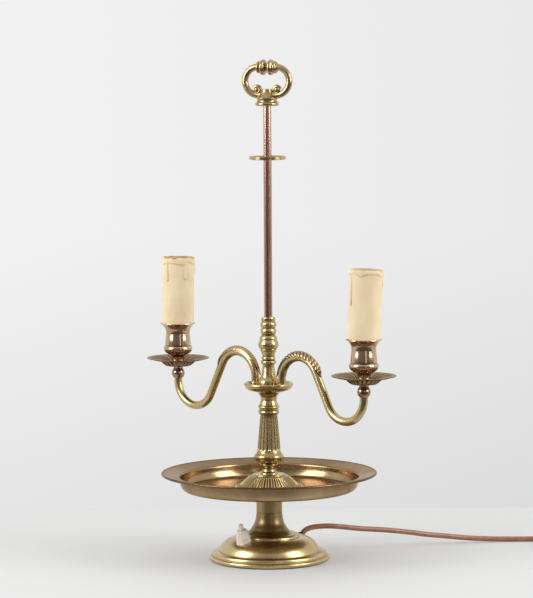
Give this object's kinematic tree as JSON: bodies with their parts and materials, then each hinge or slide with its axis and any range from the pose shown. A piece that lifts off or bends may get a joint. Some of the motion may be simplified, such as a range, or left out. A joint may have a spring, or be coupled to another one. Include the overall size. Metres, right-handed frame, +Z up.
{
  "type": "bouillotte lamp",
  "caption": "Brass bouillotte lamp: dished tray on a domed foot, fluted column, scrolled arms with candle lights, tall rod with shade rest and ring handle.",
  "frame": {"origin": "middle of the foot's underside, on the table", "axes": "+Z up along the column, +X along the right arm, -Y to the front with the push switch, +Y to the back where the cord leaves"},
  "size_m": [0.374, 0.3717, 0.4294],
  "materials": {
    "brass": "polished, toned",
    "brass_plain": "satin",
    "bronze": "satin, toned",
    "patina": "aged, pinkish brown",
    "copper": "polished, copper toned",
    "steel": "satin",
    "iron": "rough",
    "felt": "matt felt",
    "candle": "cream, with drips",
    "ivory": "moulded",
    "ceramic": "glazed",
    "black_plastic": "moulded",
    "rubber": "soft",
    "cord": "copper brown sheath",
    "wire": "sheath",
    "plug": "moulded"
  },
  "bodies": {
    "lamp": {"foot": "brass", "bottom_plate": "steel", "felt_pad": "felt", "foot_weight": "iron", "collar": "brass", "tray": "bronze", "rosette": "brass", "column": "brass", "arm_hub": "brass", "baluster": "brass", "rod": "copper", "shade_rest": "copper", "tie_tube": "steel", "tie_washer": "steel", "tie_nut": "brass_plain", "switch_body": "black_plastic", "switch_nut": "ivory", "terminal_block": "ivory", "switch_leads": "wire", "cord_inner": "cord", "cord_grommet": "rubber", "cord_run": "cord", "cord_coil": "cord", "cord_tail": "cord", "plug_body": "plug", "plug_pins": "steel", "left_arm": "brass", "left_leaf": "brass", "left_ball": "patina", "left_pan": "patina", "left_cup": "patina", "left_nipple": "steel", "left_holder": "ivory", "left_insert": "ceramic", "left_shell": "brass_plain", "left_wire": "wire", "right_arm": "brass", "right_leaf": "brass", "right_ball": "patina", "right_pan": "patina", "right_cup": "patina", "right_nipple": "steel", "right_holder": "ivory", "right_insert": "ceramic", "right_shell": "brass_plain", "right_wire": "wire"},
    "push_button": {"switch_button": "ivory"},
    "lift_handle": {"handle": "brass"},
    "left_sleeve": {"left_candle": "candle"},
    "right_sleeve": {"right_candle": "candle"}
  },
  "joints": [
    {"name": "button_push", "type": "slide", "parent": "lamp", "child": "push_button", "axis": [0, 0.2639, -0.9646], "range_m": [0, 0.0025], "stiffness_N_per_m": 300, "springref_m": -0.002},
    {"name": "handle_lift", "type": "slide", "parent": "lamp", "child": "lift_handle", "axis": [0, 0, 1], "range_m": [0, 0.06]},
    {"name": "left_sleeve_lift", "type": "slide", "parent": "lamp", "child": "left_sleeve", "axis": [0, 0, 1], "range_m": [0, 0.07]},
    {"name": "right_sleeve_lift", "type": "slide", "parent": "lamp", "child": "right_sleeve", "axis": [0, 0, 1], "range_m": [0, 0.07]}
  ]
}
